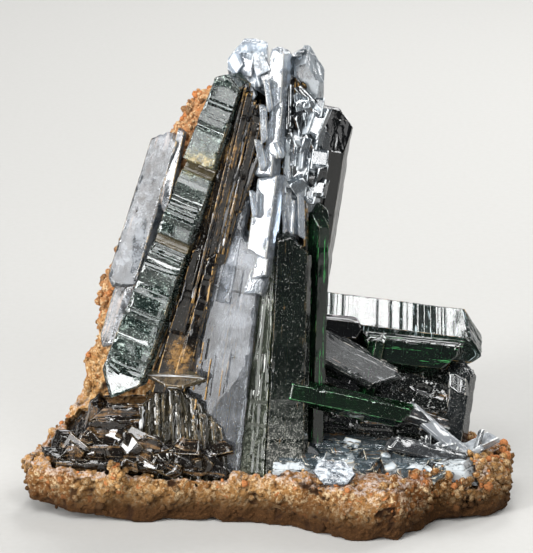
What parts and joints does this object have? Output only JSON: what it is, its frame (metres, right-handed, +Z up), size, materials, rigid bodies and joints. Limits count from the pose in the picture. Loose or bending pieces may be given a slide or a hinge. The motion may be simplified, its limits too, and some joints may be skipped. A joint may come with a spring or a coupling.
{
  "type": "vivianite crystal specimen",
  "caption": "Leaning tower of dark green, bladed vivianite crystals with a pile of fallen prisms beside it, grown on a rough limonite matrix with a flat underside.",
  "frame": {"origin": "in the matrix's flat underside, under the middle of the specimen's bounding box", "axes": "+Z up; +X to the right along the specimen's width, from the leaning tower's side to the lying prisms' side; +Y to the back, where the matrix wall stands"},
  "size_m": [0.069, 0.0362, 0.0652],
  "materials": {
    "limonite": "matte",
    "vivianite_green": "polished",
    "vivianite_clear": "polished",
    "vivianite_pale": "polished",
    "vivianite_dusty": "satin",
    "vivianite_brown": "gloss"
  },
  "bodies": {
    "root": {"matrix": "limonite", "stepped_blade": "vivianite_green", "bright_blade": "vivianite_pale", "clear_blade": "vivianite_clear", "green_rod": "vivianite_green", "dusty_prism": "vivianite_dusty", "fan_stump": "vivianite_brown", "wedge_blade": "vivianite_clear", "edge_prism": "vivianite_green", "outer_blades": "vivianite_clear", "crown_cap": "vivianite_pale", "crown_shards": "vivianite_pale", "needle_columns": "vivianite_pale", "foot_block": "vivianite_brown", "ribbed_core": "vivianite_brown", "rear_prism": "vivianite_green", "corner_crystal": "vivianite_clear", "lying_prism": "vivianite_green", "under_prism": "vivianite_green", "stub_prism": "vivianite_green", "cross_prism": "vivianite_brown", "slanting_blades": "vivianite_clear", "splinters": "vivianite_clear", "bed_blades": "vivianite_green", "foot_ledges": "vivianite_brown", "loose_plate": "vivianite_pale", "shelf_plates": "vivianite_pale"}
  },
  "joints": []
}
